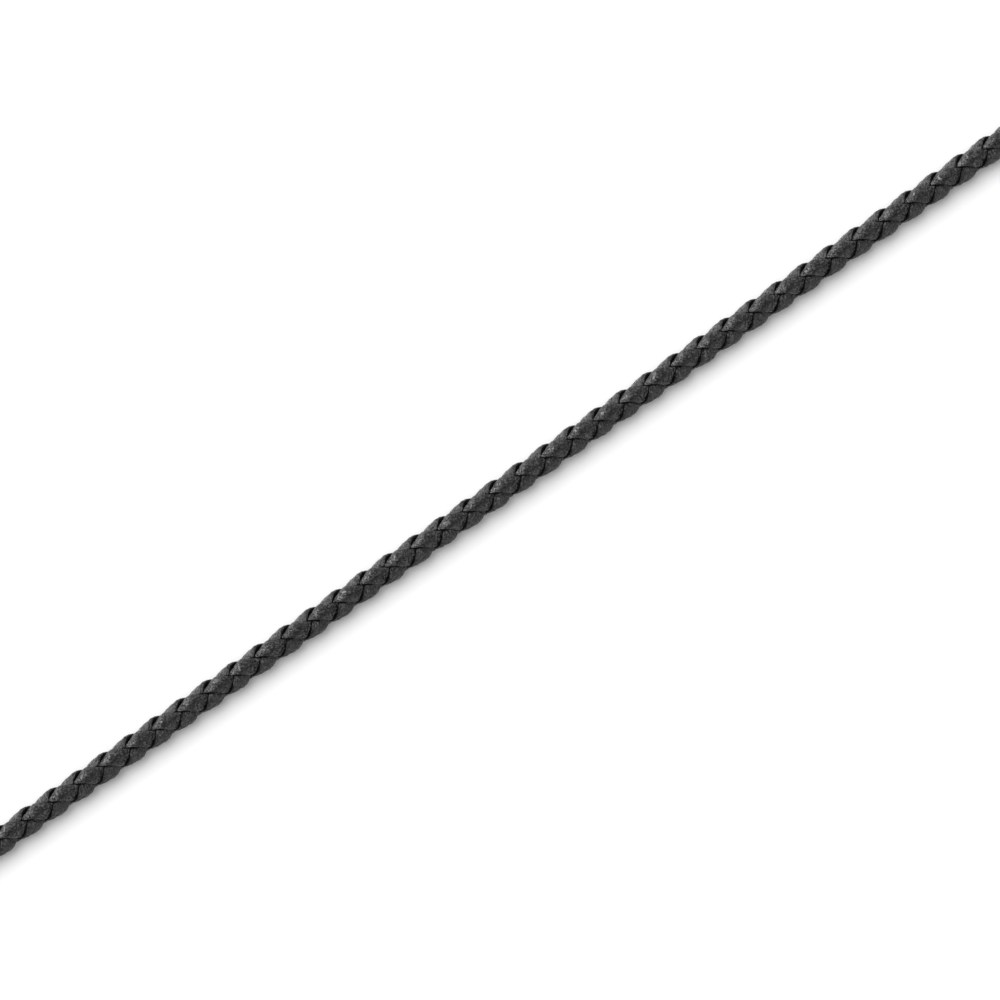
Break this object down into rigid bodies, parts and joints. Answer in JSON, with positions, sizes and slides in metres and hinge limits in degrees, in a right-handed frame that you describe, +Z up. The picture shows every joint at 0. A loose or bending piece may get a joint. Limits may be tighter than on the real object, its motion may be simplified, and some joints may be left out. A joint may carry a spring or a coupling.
{
  "type": "leather cord necklace",
  "caption": "Round braided leather cord necklace lying flat as a closed loop, joined at the back by a plain metal barrel clasp.",
  "frame": {"origin": "middle of the necklace's bounding box, on the surface that it lies on", "axes": "+X along the straight front stretch of the cord, +Y from the front stretch towards the clasp at the back, +Z up from the surface"},
  "size_m": [0.2018, 0.1133, 0.0055],
  "materials": {
    "braided_leather": "dark charcoal leather strands with a fine pebbled grain and a low waxed sheen",
    "clasp_steel": "plain satin steel with fine turning marks"
  },
  "bodies": {
    "root": {"braided_cord": "braided_leather", "barrel_clasp": "clasp_steel"}
  },
  "joints": []
}
